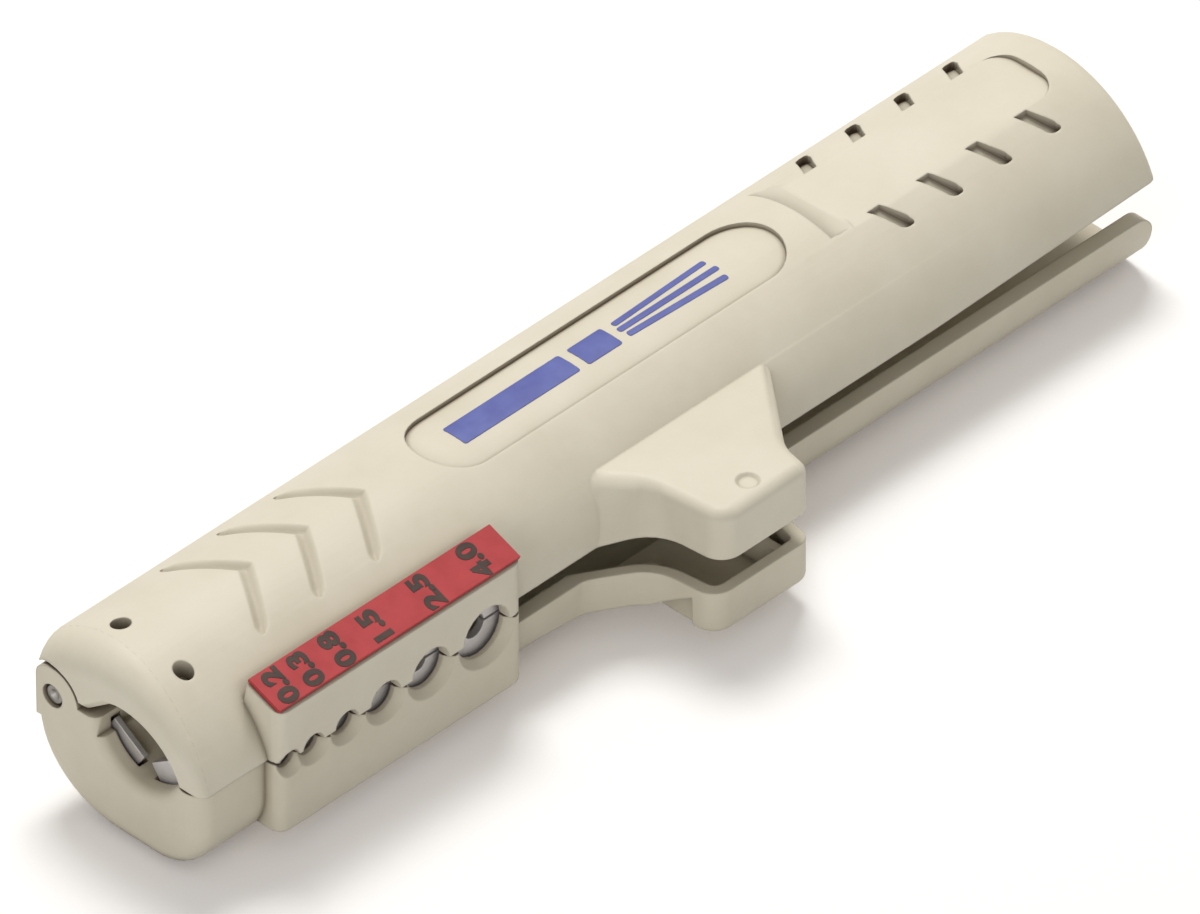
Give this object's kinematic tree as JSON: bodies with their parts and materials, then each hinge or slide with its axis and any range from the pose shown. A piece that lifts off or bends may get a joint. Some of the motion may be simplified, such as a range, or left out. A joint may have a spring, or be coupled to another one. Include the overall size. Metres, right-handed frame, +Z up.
{
  "type": "cable stripping knife",
  "caption": "Pen-shaped clamshell cable stripper: sheath-cutting mouth in the head, graded wire notches along one side, thumb wings, lever on a long side hinge.",
  "frame": {"origin": "under the middle of the flat along the lever's belly, on the surface the closed tool lies on", "axes": "+X from the head with the cable mouth to the tail, +Y to the hinge side, +Z up through the upper shell"},
  "size_m": [0.1249, 0.0315, 0.0198],
  "materials": {
    "shell_plastic": "fine satin moulding, warm beige",
    "lever_plastic": "fine satin moulding, warm beige",
    "blade_steel": "ground blade steel",
    "pin_steel": "drawn steel pin",
    "red_label": "red printed strip"
  },
  "bodies": {
    "lever": {"lower_lever": "lever_plastic", "hinge_pin": "pin_steel", "lower_wire_blade": "blade_steel", "sheath_blade_far": "blade_steel", "sheath_blade_near": "blade_steel"},
    "shell": {"upper_shell": "shell_plastic", "upper_wire_blade": "blade_steel", "upper_sheath_blade": "blade_steel", "size_strip": "red_label"}
  },
  "joints": [
    {"name": "jaw_hinge", "type": "hinge", "parent": "lever", "child": "shell", "pos_m": [0, 0.01035, 0.01195], "axis": [-1, 0, 0], "range_deg": [0, 40]}
  ]
}
